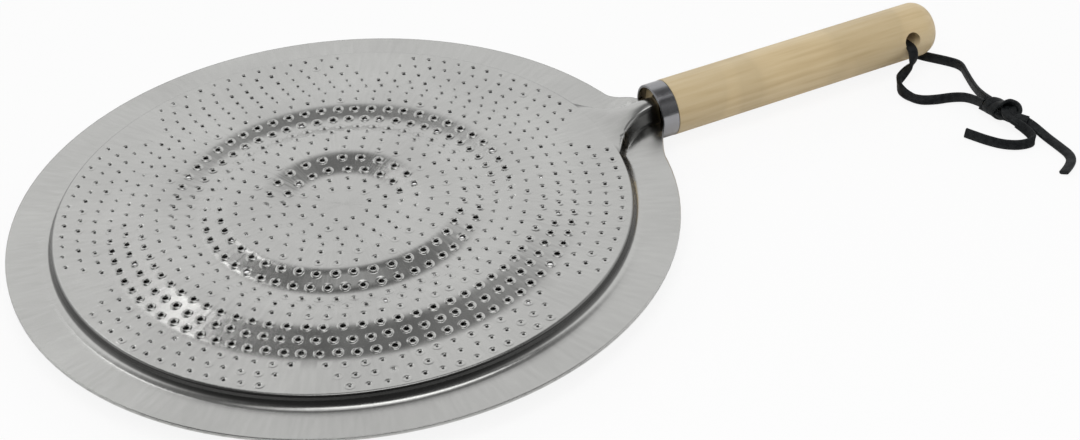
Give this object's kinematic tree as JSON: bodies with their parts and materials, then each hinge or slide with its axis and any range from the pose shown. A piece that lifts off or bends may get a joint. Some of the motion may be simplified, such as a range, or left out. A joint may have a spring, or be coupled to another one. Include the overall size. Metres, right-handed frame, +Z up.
{
  "type": "gas hob reducer ring",
  "caption": "Round perforated steel heat spreader for a gas burner, made of two pressed sheets, with a round wooden handle, a steel ferrule and a knotted leather hanging lace.",
  "frame": {"origin": "centre of the disc on the plane that the flat floor of the lower dish rests on", "axes": "+Z up out of the perforated face; +X from the centre of the disc along the handle; the lace lies on the -Y side of the handle"},
  "size_m": [0.3273, 0.21, 0.0209],
  "materials": {
    "sheet_steel": "satin tinned sheet steel, pressed and punched",
    "ferrule_steel": "drawn steel tube, satin",
    "handle_wood": "turned beech, clear satin lacquer",
    "lace_leather": "flat black leather lace, soft sheen"
  },
  "bodies": {
    "root": {"top_plate": "sheet_steel", "base_plate": "sheet_steel", "ferrule": "ferrule_steel", "handle": "handle_wood", "lace_loop": "lace_leather", "lace_knot": "lace_leather", "lace_tail_a": "lace_leather", "lace_tail_b": "lace_leather"}
  },
  "joints": []
}
